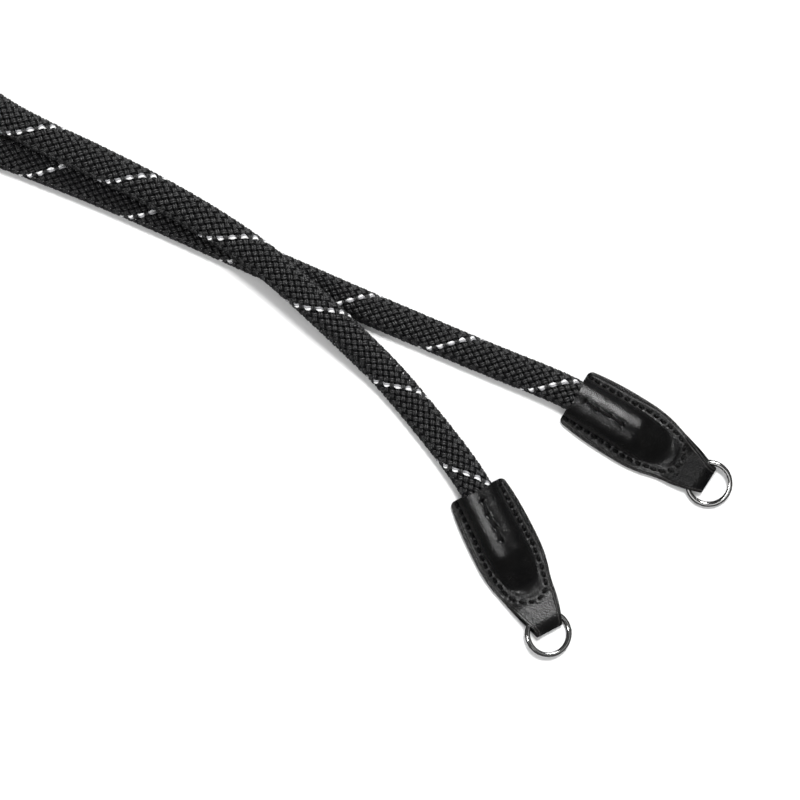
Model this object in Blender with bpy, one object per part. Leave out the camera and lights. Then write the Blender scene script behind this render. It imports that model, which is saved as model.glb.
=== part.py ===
"""A rope camera strap, lying on a table: one round braided rope, a sewn leather end on each end of it, and a split ring in each leather end.

Metres, +Z up. The table is the plane Z = 0. The origin is on the table, under the middle of the box round the leather ends and
their rings. +X runs along the first leather end, from its mouth to its ring, and the rope's far loop lies towards -X.
A leather end has its own directions: u from its mouth to its tip, v to the left of that, and w up from the table.
"""

import math

import bmesh
import bpy
import numpy as np
from mathutils import Matrix, Vector

# Rope
ROPE_DIAMETER = 0.010
ROPE_INSERT = 0.020  # length of each rope end inside its leather sleeve
ROPE_POINT_SPACING = 0.016
ROPE_BEVEL_RESOLUTION = 3

# Leather ends
END_LENGTH = 0.047
END_HALF_WIDTH = 0.0101
LEATHER = 0.0016  # each of the two flat layers
SLEEVE_WALL = 0.0012  # the leather where it is stretched over the rope
SLEEVE_CLEARANCE = 0.0003
SLEEVE_RUN_OUT = 0.0148  # from the rope's end to where the moulded bulge has sunk to the flat
BULGE_FILLET = 0.0004
EDGE_BEVEL = 0.0004
MOUTH_CORNER = 0.0013
SECTION_SPACING = 0.0024

# Split rings
RING_OUTER_RADIUS = 0.0070
RING_WIRE_WIDTH = 0.0013
RING_WIRE_HEIGHT = 0.0010
RING_TURN_GAP = 0.00012  # between the two turns of wire
RING_WIRE_BEVEL = 0.00028
RING_SEGMENTS = 48  # in one turn
RING_STEP_DEG = 60.0  # where one turn climbs to the next
RING_CLEARANCE = 0.00027  # above, below and behind the ring in its pocket
RING_BEYOND_FOLD = 0.00035  # from the tip of the fold to the ring's centre
RING_SIDE_SHIFT = -0.0007  # the ring hangs a little to one side of its fold

# The fold's lean: each ring has one side on the low side of its fold
FOLD_LEAN_DEG = 12.0
LEAN_LENGTH = 0.0072  # stretch of the leather over which the lean comes in
POCKET_TAPER = 0.0018  # from the pocket's full height to where the layers meet
NECK_RISE = 0.0070  # stretch over which the front rises over the pocket
NECK_RISE_PAST = 0.0019  # how far past the start of the pocket's full height the rise ends

# Outline of a leather end from above
END_OUTLINE = [
    # share of END_LENGTH, share of END_HALF_WIDTH
    (0.000, 0.870),
    (0.106, 0.940),
    (0.255, 0.990),
    (0.380, 1.000),
    (0.520, 0.975),
    (0.620, 0.895),
    (0.720, 0.770),
    (0.820, 0.655),
    (0.900, 0.535),
    (0.955, 0.450),
    (1.000, 0.415),
]

# How the bulge narrows from the rope's end to where it runs out
BULGE_NARROWING = [
    # share of SLEEVE_RUN_OUT, share of the bulge's width
    (0.00, 1.00),
    (0.25, 0.98),
    (0.50, 0.90),
    (0.75, 0.74),
    (1.00, 0.50),
]

# Where each leather end lies
ENDS = [
    # name, mouth x, mouth y, heading in degrees, side that leans up
    ("a", -0.0200, 0.0305, 0.0, 1),
    ("b", -0.0302, -0.0085, -31.8, -1),
]

# Height of the rope's centre: in a sleeve, on the table, and where it crosses over itself
SLEEVE_AXIS = LEATHER + SLEEVE_CLEARANCE + ROPE_DIAMETER / 2

# The rope's way from the mouth of leather end a to the mouth of leather end b
ROPE_ROUTE = [
    # x, y, z of the rope's centre
    (-0.0370, 0.0282, 0.0057),
    (-0.0600, 0.0245, 0.0050),
    (-0.0836, 0.0210, 0.0050),
    (-0.1070, 0.0177, 0.0050),
    (-0.1304, 0.0146, 0.0050),
    (-0.1540, 0.0116, 0.0050),
    (-0.1780, 0.0080, 0.0050),
    (-0.2070, 0.0026, 0.0050),
    (-0.2400, -0.0055, 0.0050),
    (-0.2750, -0.0160, 0.0050),
    (-0.3100, -0.0260, 0.0050),
    (-0.3440, -0.0320, 0.0050),
    (-0.3770, -0.0360, 0.0050),
    (-0.4075, -0.0360, 0.0050),
    (-0.4330, -0.0255, 0.0050),
    (-0.4435, 0.0000, 0.0050),
    (-0.4330, 0.0255, 0.0050),
    (-0.4075, 0.0360, 0.0050),
    (-0.3760, 0.0355, 0.0050),
    (-0.3410, 0.0310, 0.0050),
    (-0.3050, 0.0255, 0.0050),
    (-0.2700, 0.0210, 0.0052),
    (-0.2380, 0.0166, 0.0074),
    (-0.2070, 0.0130, 0.0112),
    (-0.1800, 0.0152, 0.0129),
    (-0.1546, 0.0172, 0.0141),
    (-0.1307, 0.0174, 0.0154),
    (-0.1188, 0.0165, 0.0157),
    (-0.1066, 0.0146, 0.0152),
    (-0.0944, 0.0122, 0.0131),
    (-0.0823, 0.0096, 0.0092),
    (-0.0699, 0.0066, 0.0060),
    (-0.0576, 0.0026, 0.0050),
    (-0.0451, -0.0019, 0.0056),
]

# Lengths along a leather end that follow from the sizes above
FLANGE = 2 * LEATHER
POCKET_HEIGHT = 2 * RING_WIRE_HEIGHT + RING_TURN_GAP + 2 * RING_CLEARANCE
TIP_THICKNESS = FLANGE + POCKET_HEIGHT
FOLD_CENTRE = END_LENGTH - TIP_THICKNESS / 2
RING_CENTRE = END_LENGTH + RING_BEYOND_FOLD
POCKET_FULL = RING_CENTRE - RING_OUTER_RADIUS - RING_CLEARANCE
POCKET_START = POCKET_FULL - POCKET_TAPER
BULGE_RADIUS = ROPE_DIAMETER / 2 + SLEEVE_CLEARANCE + SLEEVE_WALL


def smoothstep(x):
    x = min(max(x, 0.0), 1.0)
    return x * x * (3 - 2 * x)


def spline_through(knots, values):
    """A natural cubic spline, as a function of the knots' variable. A value is a number or a vector."""
    knots = np.array(knots, float)
    values = np.array(values, float).reshape(len(knots), -1)
    last = len(knots) - 1
    gaps = np.diff(knots)
    matrix = np.eye(last + 1)
    right = np.zeros_like(values)
    for i in range(1, last):
        matrix[i, i - 1 : i + 2] = gaps[i - 1], 2 * (gaps[i - 1] + gaps[i]), gaps[i]
        right[i] = 6 * ((values[i + 1] - values[i]) / gaps[i] - (values[i] - values[i - 1]) / gaps[i - 1])
    bends = np.linalg.solve(matrix, right)

    def at(x):
        i = int(np.clip(np.searchsorted(knots, x) - 1, 0, last - 1))
        a, b = (knots[i + 1] - x) / gaps[i], (x - knots[i]) / gaps[i]
        curve = ((a**3 - a) * bends[i] + (b**3 - b) * bends[i + 1]) * gaps[i] ** 2 / 6
        return a * values[i] + b * values[i + 1] + curve

    return at


OUTLINE = spline_through(*zip(*END_OUTLINE))
NARROWING = spline_through(*zip(*BULGE_NARROWING))


def half_width(u):
    """Half the leather's width, with rounded corners at the mouth."""
    width = END_HALF_WIDTH * OUTLINE(u / END_LENGTH)[0]
    inset = max(MOUTH_CORNER - u, 0.0)
    return width - MOUTH_CORNER + math.sqrt(max(MOUTH_CORNER**2 - inset**2, 0.0))


def bulge_height(u):
    """Height of the moulded bulge as a share of its full height: whole over the rope, none where it runs out."""
    return 1.0 - smoothstep((u - ROPE_INSERT) / SLEEVE_RUN_OUT)


def bulge_width(u):
    past = min(max((u - ROPE_INSERT) / SLEEVE_RUN_OUT, 0.0), 1.0)
    return NARROWING(past)[0]


def flat_faces(u):
    """Heights of the back and of the flat front. They part round the ring's pocket and meet round the fold."""
    opened = smoothstep((u - POCKET_FULL - NECK_RISE_PAST) / NECK_RISE + 1.0)
    top = FLANGE + POCKET_HEIGHT * opened
    if u <= FOLD_CENTRE:
        return 0.0, top
    half = math.sqrt(max((TIP_THICKNESS / 2) ** 2 - (u - FOLD_CENTRE) ** 2, 0.0))
    return TIP_THICKNESS / 2 - half, TIP_THICKNESS / 2 + half


def lean(u):
    """The fold's lean in radians at u, and how far it lifts the middle so that the low edge stays on the table."""
    full = math.radians(FOLD_LEAN_DEG)
    angle = full * smoothstep((u - POCKET_START + LEAN_LENGTH) / LEAN_LENGTH)
    if u <= POCKET_START:
        return angle, half_width(max(u, 0.0)) * math.sin(angle)
    share = (u - POCKET_START) / (END_LENGTH - POCKET_START)
    width = (1 - share) * half_width(POCKET_START) + share * half_width(END_LENGTH)
    return angle, width * math.sin(angle)


def leaned(u, v, w, side):
    """A point of a leather end, moved as its fold leans. side is 1 where the +v edge goes up, -1 where it goes down."""
    angle, lift = lean(u)
    angle *= side
    return Vector((u, v * math.cos(angle) - w * math.sin(angle), v * math.sin(angle) + w * math.cos(angle) + lift))


def arc(centre_v, centre_w, radius, first_deg, last_deg, steps):
    angles = [math.radians(first_deg + (last_deg - first_deg) * i / steps) for i in range(steps + 1)]
    return [(centre_v + radius * math.cos(t), centre_w + radius * math.sin(t)) for t in angles]


def outer_section(u):
    """The leather's outline across u, as (v, w) points, from the back's +v corner over the bulge to its -v corner."""
    edge = half_width(u)
    back, front = flat_faces(u)
    bevel = min(EDGE_BEVEL, (front - back) / 4)
    axis = SLEEVE_AXIS - FLANGE
    foot = arc(BULGE_RADIUS + BULGE_FILLET, BULGE_FILLET, BULGE_FILLET, 270, 180, 2)
    crown = arc(0.0, axis, BULGE_RADIUS, 0, 90, 7)
    tall, wide = bulge_height(u), bulge_width(u)
    bulge = [(v * wide, front + w * tall) for v, w in foot + crown]
    right = [(edge, back), (edge, front - bevel), (edge - bevel, front)] + bulge
    left = [(-v, w) for v, w in reversed(right[:-1])]
    return right + left + [(-edge / 2, back), (0.0, back), (edge / 2, back)]


def cavity_section(u):
    """The rope's space across u: the leather's bulge less the sleeve's wall, on the back layer."""
    tall, wide = bulge_height(u), bulge_width(u)
    inner = BULGE_RADIUS - SLEEVE_WALL
    floor = LEATHER
    crown_height = FLANGE + (SLEEVE_AXIS + BULGE_RADIUS - FLANGE) * tall - SLEEVE_WALL - floor
    straight = crown_height - inner * crown_height / (SLEEVE_AXIS + inner - floor)
    crown = arc(0.0, 0.0, 1.0, 0, 90, 7)
    right = [(inner * wide, floor)]
    right += [(inner * wide * c, floor + straight + (crown_height - straight) * s) for c, s in crown]
    return right + [(-v, w) for v, w in reversed(right[:-1])]


def mesh_of_sections(name, sections, place):
    """A closed mesh through sections, which are (u, points) with as many points each. place turns u, v, w into a vertex."""
    shape = bmesh.new()
    rings = [[shape.verts.new(place(u, v, w)) for v, w in points] for u, points in sections]
    for here, there in zip(rings, rings[1:]):
        for i in range(len(here)):
            j = (i + 1) % len(here)
            shape.faces.new((here[i], here[j], there[j], there[i]))
    shape.faces.new(rings[0])
    shape.faces.new(rings[-1])
    bmesh.ops.recalc_face_normals(shape, faces=shape.faces)
    bmesh.ops.triangulate(shape, faces=shape.faces)
    mesh = bpy.data.meshes.new(name)
    shape.to_mesh(mesh)
    shape.free()
    return mesh


def material(name, colour, roughness, metallic):
    made = bpy.data.materials.new(name)
    made.use_nodes = True
    shader = made.node_tree.nodes["Principled BSDF"]
    shader.inputs["Base Color"].default_value = (*colour, 1.0)
    shader.inputs["Roughness"].default_value = roughness
    shader.inputs["Metallic"].default_value = metallic
    return made


def add_object(name, data, finish=None):
    added = bpy.data.objects.new(name, data)
    bpy.context.scene.collection.objects.link(added)
    if finish:
        data.materials.append(finish)
    return added


def cut(solid, cutter):
    cutter.hide_render = True
    cutter.display_type = "WIRE"
    cutter.parent = solid
    modifier = solid.modifiers.new(cutter.name, "BOOLEAN")
    modifier.operation = "DIFFERENCE"
    modifier.solver = "EXACT"
    modifier.object = cutter


def outer_stations():
    """Where the leather's outer shape has its sections: close together at the mouth's corners and round the fold."""
    corner = [MOUTH_CORNER * s for s in (0.0, 0.12, 0.4)]
    count = max(round((FOLD_CENTRE - MOUTH_CORNER) / SECTION_SPACING), 1)
    body = [MOUTH_CORNER + (FOLD_CENTRE - MOUTH_CORNER) * i / count for i in range(count + 1)]
    fold = [FOLD_CENTRE + TIP_THICKNESS / 2 * math.sin(math.radians(a)) for a in (18, 36, 53, 68, 80, 86.5)]
    return corner + body + fold


def leather_solid(name, side, finish):
    """One leather end: its outer shape, less the rope's space, less the ring's pocket."""

    def place(u, v, w):
        return leaned(u, v, w, side)

    outer = mesh_of_sections(name, [(u, outer_section(u)) for u in outer_stations()], place)
    solid = add_object(name, outer, finish)

    past_rope = [ROPE_INSERT + SLEEVE_RUN_OUT * s for s in (0.0, 0.15, 0.3, 0.45, 0.6, 0.7)]
    stations = [-LEATHER] + [ROPE_INSERT * s for s in (0.25, 0.5, 0.75)] + past_rope
    cavity = mesh_of_sections(name + "_cavity", [(u, cavity_section(u)) for u in stations], place)
    cut(solid, add_object(name + "_cavity", cavity))

    radius = POCKET_HEIGHT / 2
    middle = LEATHER + radius
    end = arc(FOLD_CENTRE, middle, radius, -90, 90, 8)
    side_view = [(POCKET_START, LEATHER), *end, (POCKET_FULL, LEATHER + POCKET_HEIGHT)]
    side_view.append((POCKET_START, LEATHER + SLEEVE_CLEARANCE))
    beyond = 1.5 * END_HALF_WIDTH
    pocket = mesh_of_sections(
        name + "_pocket",
        [(v, side_view) for v in (-beyond, beyond)],
        lambda v, u, w: place(u, v, w),
    )
    cut(solid, add_object(name + "_pocket", pocket))
    outer.shade_smooth()
    outer.set_sharp_from_angle(angle=math.radians(35))
    return solid


def ring_pose(side):
    """The ring's place in its leather end: its centre in the middle of the pocket, its axis square to the pocket."""
    middle = LEATHER + POCKET_HEIGHT / 2
    step = RING_WIRE_WIDTH
    inside = (FOLD_CENTRE + POCKET_FULL) / 2
    along = leaned(inside + step, 0.0, middle, side) - leaned(inside - step, 0.0, middle, side)
    across = leaned(inside, step, middle, side) - leaned(inside, -step, middle, side)
    axis = along.cross(across).normalized()
    along.normalize()
    across = axis.cross(along)
    centre = leaned(inside, 0.0, middle, side) + (RING_CENTRE - inside) * along + RING_SIDE_SHIFT * across
    turned = Matrix((along, across, axis)).transposed().to_4x4()
    return Matrix.Translation(centre) @ turned


def ring_mesh(name):
    """Two turns of flat wire with rounded edges. Turn one climbs to turn two over the step, and both ends stop beside it."""
    width, height, bevel = RING_WIRE_WIDTH / 2, RING_WIRE_HEIGHT / 2, RING_WIRE_BEVEL
    quarter = [(width, height - bevel), (width - bevel, height)]
    top = quarter + [(-r, z) for r, z in reversed(quarter)]
    profile = top + [(-r, -z) for r, z in top]
    rise = RING_WIRE_HEIGHT + RING_TURN_GAP
    turns = 720.0 - RING_STEP_DEG
    count = round(RING_SEGMENTS * turns / 360.0)
    centre_radius = RING_OUTER_RADIUS - width
    start = 180.0 + RING_STEP_DEG / 2  # the step lies in the middle of the pocket

    def place(angle_deg, r, z):
        climbed = smoothstep((angle_deg - 360.0 + RING_STEP_DEG) / RING_STEP_DEG)
        t = math.radians(start + angle_deg)
        radius = centre_radius + r
        return Vector((radius * math.cos(t), radius * math.sin(t), z + rise * (climbed - 0.5)))

    mesh = mesh_of_sections(name, [(turns * i / count, profile) for i in range(count + 1)], place)
    mesh.shade_smooth()
    mesh.set_sharp_from_angle(angle=math.radians(50))
    return mesh


def end_matrix(mouth_x, mouth_y, heading_deg):
    turned = Matrix.Rotation(math.radians(heading_deg), 4, "Z")
    return Matrix.Translation((mouth_x, mouth_y, 0.0)) @ turned


def rope_points():
    """The rope's centre line: out of one sleeve along the route and into the other, on one smooth curve, evenly spaced."""
    sleeves = []
    for _, mouth_x, mouth_y, heading_deg, _ in ENDS:
        matrix = end_matrix(mouth_x, mouth_y, heading_deg)
        sleeves.append([tuple(matrix @ Vector((ROPE_INSERT * s, 0.0, SLEEVE_AXIS))) for s in (0.0, 0.5, 1.0)])
    first, last = sleeves
    route = np.array(first[::-1] + ROPE_ROUTE + last)
    knots = np.concatenate([[0.0], np.cumsum(np.linalg.norm(np.diff(route, axis=0), axis=1))])
    curve = spline_through(knots, route)
    fine = np.array([curve(x) for x in np.linspace(0.0, knots[-1], 40 * len(knots))])
    run = np.concatenate([[0.0], np.cumsum(np.linalg.norm(np.diff(fine, axis=0), axis=1))])
    count = max(round(run[-1] / ROPE_POINT_SPACING), 2)
    even = np.linspace(0.0, run[-1], count + 1)
    return [tuple(np.interp(x, run, fine[:, k]) for k in range(3)) for x in even]


def add_rope(finish):
    curve = bpy.data.curves.new("rope", "CURVE")
    curve.dimensions = "3D"
    curve.bevel_depth = ROPE_DIAMETER / 2
    curve.bevel_resolution = ROPE_BEVEL_RESOLUTION
    curve.use_fill_caps = True
    points = rope_points()
    line = curve.splines.new("POLY")
    line.points.add(len(points) - 1)
    for point, place in zip(line.points, points):
        point.co = (*place, 1.0)
    add_object("rope", curve, finish)


def main():
    for old in list(bpy.data.objects):
        bpy.data.objects.remove(old)
    rope_black = material("rope_black", (0.012, 0.012, 0.013), 0.75, 0.0)
    leather_black = material("leather_black", (0.010, 0.010, 0.010), 0.38, 0.0)
    dark_nickel = material("dark_nickel", (0.32, 0.31, 0.31), 0.22, 1.0)
    add_rope(rope_black)
    for letter, mouth_x, mouth_y, heading_deg, side in ENDS:
        matrix = end_matrix(mouth_x, mouth_y, heading_deg)
        leather = leather_solid("leather_end_" + letter, side, leather_black)
        leather.matrix_world = matrix
        ring = add_object("split_ring_" + letter, ring_mesh("split_ring_" + letter), dark_nickel)
        ring.matrix_world = matrix @ ring_pose(side)


main()
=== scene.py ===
import math

import bmesh
import bpy
import numpy as np
from mathutils import Matrix, Vector


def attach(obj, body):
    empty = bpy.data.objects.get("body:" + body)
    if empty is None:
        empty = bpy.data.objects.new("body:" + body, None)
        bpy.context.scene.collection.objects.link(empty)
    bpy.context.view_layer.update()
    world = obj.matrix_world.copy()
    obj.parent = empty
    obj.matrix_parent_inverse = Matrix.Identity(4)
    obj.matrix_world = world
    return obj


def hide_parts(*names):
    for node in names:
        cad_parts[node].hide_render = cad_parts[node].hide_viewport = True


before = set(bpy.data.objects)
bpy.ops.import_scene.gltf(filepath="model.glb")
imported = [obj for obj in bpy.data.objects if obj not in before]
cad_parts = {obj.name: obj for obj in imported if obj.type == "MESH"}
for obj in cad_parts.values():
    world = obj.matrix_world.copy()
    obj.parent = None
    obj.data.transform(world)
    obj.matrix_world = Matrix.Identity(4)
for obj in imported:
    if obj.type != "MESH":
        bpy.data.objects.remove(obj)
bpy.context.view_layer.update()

# Sizes of the solids, in metres
ROPE_DIAMETER = 0.010
ROPE_INSERT = 0.020
END_LENGTH = 0.047
END_HALF_WIDTH = 0.0101
LEATHER = 0.0016
SLEEVE_WALL = 0.0012
SLEEVE_CLEARANCE = 0.0003
SLEEVE_RUN_OUT = 0.0148
BULGE_FILLET = 0.0006
BULGE_ROUNDING = 0.008
MOUTH_CORNER = 0.0013
RING_OUTER_RADIUS = 0.0070
RING_WIRE_WIDTH = 0.0013
RING_WIRE_HEIGHT = 0.0010
RING_TURN_GAP = 0.00012
RING_STEP_DEG = 60.0
RING_CLEARANCE = 0.00027
RING_BEYOND_FOLD = 0.00035
RING_SIDE_SHIFT = -0.0007
FOLD_LEAN_DEG = 12.0
LEAN_LENGTH = 0.0072
POCKET_TAPER = 0.0018
NECK_START = 0.0342  # where the front starts to rise over the pocket
NECK_END = 0.0441
NECK_CURVE = 0.16  # share of the rise that eases in, and that eases out

END_OUTLINE = [
    # share of END_LENGTH, share of END_HALF_WIDTH
    (0.000, 0.870),
    (0.106, 0.940),
    (0.255, 0.990),
    (0.380, 1.000),
    (0.520, 0.975),
    (0.620, 0.895),
    (0.720, 0.770),
    (0.820, 0.655),
    (0.900, 0.535),
    (0.955, 0.450),
    (1.000, 0.415),
]
BULGE_NARROWING = [
    # share of SLEEVE_RUN_OUT, share of the bulge's width
    (0.00, 1.00),
    (0.25, 0.98),
    (0.50, 0.90),
    (0.75, 0.74),
    (1.00, 0.50),
]
ENDS = [
    # name, mouth x, mouth y, heading in degrees, side that leans up
    ("a", -0.0200, 0.0305, 0.0, 1),
    ("b", -0.0302, -0.0085, -31.8, -1),
]
SLEEVE_AXIS = LEATHER + SLEEVE_CLEARANCE + ROPE_DIAMETER / 2
ROPE_ROUTE = [
    # x, y, z of the rope's centre, from the mouth of leather end a to the mouth of leather end b
    (-0.0370, 0.0282, 0.0057),
    (-0.0600, 0.0245, 0.0050),
    (-0.0836, 0.0210, 0.0050),
    (-0.1070, 0.0177, 0.0050),
    (-0.1304, 0.0146, 0.0050),
    (-0.1540, 0.0116, 0.0050),
    (-0.1780, 0.0080, 0.0050),
    (-0.2070, 0.0026, 0.0050),
    (-0.2400, -0.0055, 0.0050),
    (-0.2750, -0.0160, 0.0050),
    (-0.3100, -0.0260, 0.0050),
    (-0.3440, -0.0320, 0.0050),
    (-0.3770, -0.0360, 0.0050),
    (-0.4075, -0.0360, 0.0050),
    (-0.4330, -0.0255, 0.0050),
    (-0.4435, 0.0000, 0.0050),
    (-0.4330, 0.0255, 0.0050),
    (-0.4075, 0.0360, 0.0050),
    (-0.3760, 0.0355, 0.0050),
    (-0.3410, 0.0310, 0.0050),
    (-0.3050, 0.0255, 0.0050),
    (-0.2700, 0.0210, 0.0052),
    (-0.2380, 0.0166, 0.0074),
    (-0.2070, 0.0130, 0.0112),
    (-0.1800, 0.0152, 0.0129),
    (-0.1546, 0.0172, 0.0141),
    (-0.1307, 0.0174, 0.0154),
    (-0.1188, 0.0165, 0.0157),
    (-0.1066, 0.0146, 0.0152),
    (-0.0944, 0.0122, 0.0131),
    (-0.0823, 0.0096, 0.0092),
    (-0.0699, 0.0066, 0.0060),
    (-0.0576, 0.0026, 0.0050),
    (-0.0451, -0.0019, 0.0056),
]

FLANGE = 2 * LEATHER
POCKET_HEIGHT = 2 * RING_WIRE_HEIGHT + RING_TURN_GAP + 2 * RING_CLEARANCE
TIP_THICKNESS = FLANGE + POCKET_HEIGHT
FOLD_CENTRE = END_LENGTH - TIP_THICKNESS / 2
RING_CENTRE = END_LENGTH + RING_BEYOND_FOLD
POCKET_FULL = RING_CENTRE - RING_OUTER_RADIUS - RING_CLEARANCE
POCKET_START = POCKET_FULL - POCKET_TAPER
BULGE_RADIUS = ROPE_DIAMETER / 2 + SLEEVE_CLEARANCE + SLEEVE_WALL

# Braid
CARRIERS = 12  # each way round
ROWS_PER_TURN = 2 * CARRIERS  # rows of floats in one turn of a carrier
BRAID_TURNS = [
    # distance along the rope from its end in leather end a, turns of the fleck's yarns round the rope
    (0.0272, 0.0),
    (0.0599, 1.0),
    (0.0923, 2.0),
    (0.1240, 3.0),
    (0.1561, 4.0),
    (0.7720, 23.0),
    (0.8070, 24.0),
    (0.8391, 25.0),
    (0.8727, 26.0),
    (0.9062, 27.0),
]
PITCH_BEFORE = 0.0327  # length of a turn before the table's first row
PITCH_AFTER = 0.0335  # and after its last
CORE_RADIUS = 0.00355
CORE_SIDES = 20
CORE_STATIONS = 467
YARN_MIDDLE = 0.00402  # mean radius of the yarns' centre lines
YARN_WAVE = 0.00066  # how far they go out over and in under each other
YARN_HALF_THICKNESS = 0.00034
YARN_HALF_WIDTH = 0.00040
YARN_APART = 0.00035  # of the two yarns of a carrier, from their middle
YARN_STATIONS = np.array([-0.76, -0.50, -0.18, 0.18, 0.50, 0.76])  # along a float, in rows of floats
YARN_PROFILE = np.radians([-18.0, 32.0, 90.0, 148.0, 198.0])  # round the side of a yarn that shows
YARN_TAPER = 1.25  # how fast a yarn narrows towards a float's ends
YARN_CLOSING = 0.5  # how fast the two yarns of a carrier close up towards a float's ends
SLOPE_SPREAD_DEG = 1.6  # differences between the yarns, as standard deviations
WIDTH_SPREAD = 0.035
LIFT_SPREAD = 0.000022
SHIFT_SPREAD = 0.00002
YARN_TEXTURE_SCALE = 4200.0
YARN_TEXTURE_STARTS = 40
COVER_INSIDE = 0.0035  # how far the braid is modelled into each sleeve
COVER_PIECES = 4

# Stitches, along and across a leather end
THREAD_RADIUS = 0.00056
THREAD_PLIES = 3
THREAD_TWIST = 0.0021  # length of a turn of the plies
THREAD_SIDES = 7
CENTRE_THREAD = 0.85  # radius in the middle row, as a share of THREAD_RADIUS
EDGE_STITCH = (-0.00012, 0.00070, 0.00018)  # rise over the leather, depth at its ends, slant
CENTRE_STITCH = (-0.00010, 0.00070, 0.00025)
STITCH_LENGTH = 0.0012  # in the row round the edge
STITCH_LENGTH_SPREAD = 0.10  # differences between the stitches, as standard deviations
STITCH_SLANT_SPREAD = 0.14
STITCH_PLACE_SPREAD = 0.00007
EDGE_HOLES = [
    # u, v of the middle of each stitch in the row round the edge
    (0.0012, 0.0073),
    (0.0037, 0.0071),
    (0.0062, 0.0072),
    (0.0087, 0.0072),
    (0.0112, 0.0073),
    (0.0137, 0.0074),
    (0.0162, 0.0075),
    (0.0187, 0.0076),
    (0.0212, 0.0077),
    (0.0238, 0.0077),
    (0.0263, 0.0074),
    (0.0288, 0.0070),
    (0.0312, 0.0066),
    (0.0335, 0.0059),
    (0.0356, 0.0043),
    (0.0368, 0.0019),
    (0.0367, -0.0010),
    (0.0356, -0.0034),
    (0.0334, -0.0053),
    (0.0311, -0.0061),
    (0.0288, -0.0067),
    (0.0264, -0.0071),
    (0.0239, -0.0075),
    (0.0213, -0.0076),
    (0.0188, -0.0076),
    (0.0162, -0.0075),
    (0.0137, -0.0074),
    (0.0112, -0.0073),
    (0.0087, -0.0072),
    (0.0062, -0.0071),
    (0.0037, -0.0071),
    (0.0012, -0.0072),
]
CENTRE_HOLES = [
    # u, v of each hole in the short row along the middle
    (0.0034, 0.0002),
    (0.0076, -0.0002),
    (0.0118, 0.0002),
    (0.0160, 0.0),
]

# Relief of the leather's front: height or depth and reach of each mark, in metres
ROW_SWELL = (0.00016, 0.00070)  # along the row round the edge
ROW_RIM = (0.00005, 0.00020)  # ROW_RIM_AWAY from that row
ROW_RIM_AWAY = 0.00100
STITCH_PIT_DEPTH = 0.00060
STITCH_PIT_REACH = 0.00060
CENTRE_GROOVE = (0.00020, 0.00050)
CENTRE_PIT = (0.00065, 0.00065)
CREASE_GROOVE = (0.00015, 0.00018)
CREASE_LIP = (0.00014, 0.00020)  # CREASE_LIP_AWAY inside the creased line
CREASE_LIP_AWAY = 0.00034
CREASE_INSETS = [
    # distance from the mouth, inset of the creased line on the +v side
    (0.000, 0.00090),
    (0.006, 0.00130),
    (0.014, 0.00145),
    (0.025, 0.00070),
    (0.036, 0.00080),
    (0.047, 0.00080),
]
PLAIN_CREASE_INSET = 0.0006  # on the -v side
HIDE_UNEVENNESS = 0.000035
EDGE_JOINT = (0.00013, 0.00016)  # between the two layers, where they show at the sides

# Fine outline of the leather's sections
FRONT_CORNER = 0.00055
BACK_CORNER = 0.0003
CORNER_STEPS = np.array([0.0, 0.03, 0.12, 0.25, 0.4, 0.6, 0.8])  # of the mouth's rounded corners
BODY_SECTIONS = 206
FOLD_STEPS_DEG = [5, 10, 16, 22, 28, 34, 40, 46, 52, 58, 64, 70, 75, 80, 84, 87.5]
LEATHER_SHARP_DEG = 42

# Finish of the leather, in metres
SHOWN_DEPTH = 0.0008  # how far under the plain front a mark still colours the surface
PAINTED_EDGE = 0.0004
PIT_REACH = 0.00062
ROW_REACH = 0.0010
STRIP_BLUR = 0.0002
# Wear and painted highlight: a lighter colour along the top corner of the edge and just inside the creased line,
# for worn leather and for the light that these rounded lines catch.
EDGE_WEAR_AND_HIGHLIGHT = (0.7, 0.00022)  # strength and reach, EDGE_WEAR_AND_HIGHLIGHT_AWAY from the edge
EDGE_WEAR_AND_HIGHLIGHT_AWAY = 0.00015
CREASE_WEAR_AND_HIGHLIGHT = (0.9, 0.00016)  # CREASE_WEAR_AND_HIGHLIGHT_AWAY inside the creased line
CREASE_WEAR_AND_HIGHLIGHT_AWAY = 0.00030
NECK_DULLNESS = {"a": 0.88, "b": 0.15}
BULGE_DULLNESS = 0.6  # where the bulge leaves the rope

# Split rings' wire
RING_BEVEL = 0.00045
RING_STATIONS = 265
RING_SHARP_DEG = 60

# The photograph's frame
PICTURE_PIXELS = 800
PIXELS_PER_METRE = 3380.0
VIEW_TARGET = Vector((-0.06355, 0.00245, 0.0050))
VIEW_TURN_DEG = 31.5
VIEW_DISTANCE = 1.095
SENSOR_WIDTH = 36.0  # in millimetres
BACKDROP_RADIUS = 8.0  # the white room, which only the camera sees
FLOOR_HEIGHT = -0.00006

# Light
LAMP_DISTANCE = 1.3
LAMPS = [
    # name, degrees from the picture's right, degrees off the vertical, width, height, watts,
    # whether it lights what is glossy, and what is matt
    ("key", 70, 15, 0.18, 0.18, 15.0, False, True),
    ("fill", 0, 0, 1.6, 1.6, 17.0, False, True),
    ("low_key", 64, 50, 0.52, 0.66, 17.0, True, False),
    ("side", 211, 33, 0.14, 0.80, 8.0, True, False),
]
GLINT_SIZE = 0.20
GLINT_POWER = {"a": 0.17, "b": 0.045}
WALLS = [
    # height in the surroundings, from 0 at the horizon to 1 overhead, and their brightness there
    (0.00, 0.05),
    (0.20, 0.05),
    (0.45, 0.10),
    (0.86, 0.09),
    (0.95, 0.035),
    (1.00, 0.03),
]
WHITE = (1.0, 1.0, 1.0, 1.0)

scene = bpy.context.scene
rng = np.random.default_rng(7)


# Shared shapes


def smoothstep(x):
    x = np.clip(x, 0.0, 1.0)
    return x * x * (3 - 2 * x)


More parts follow.
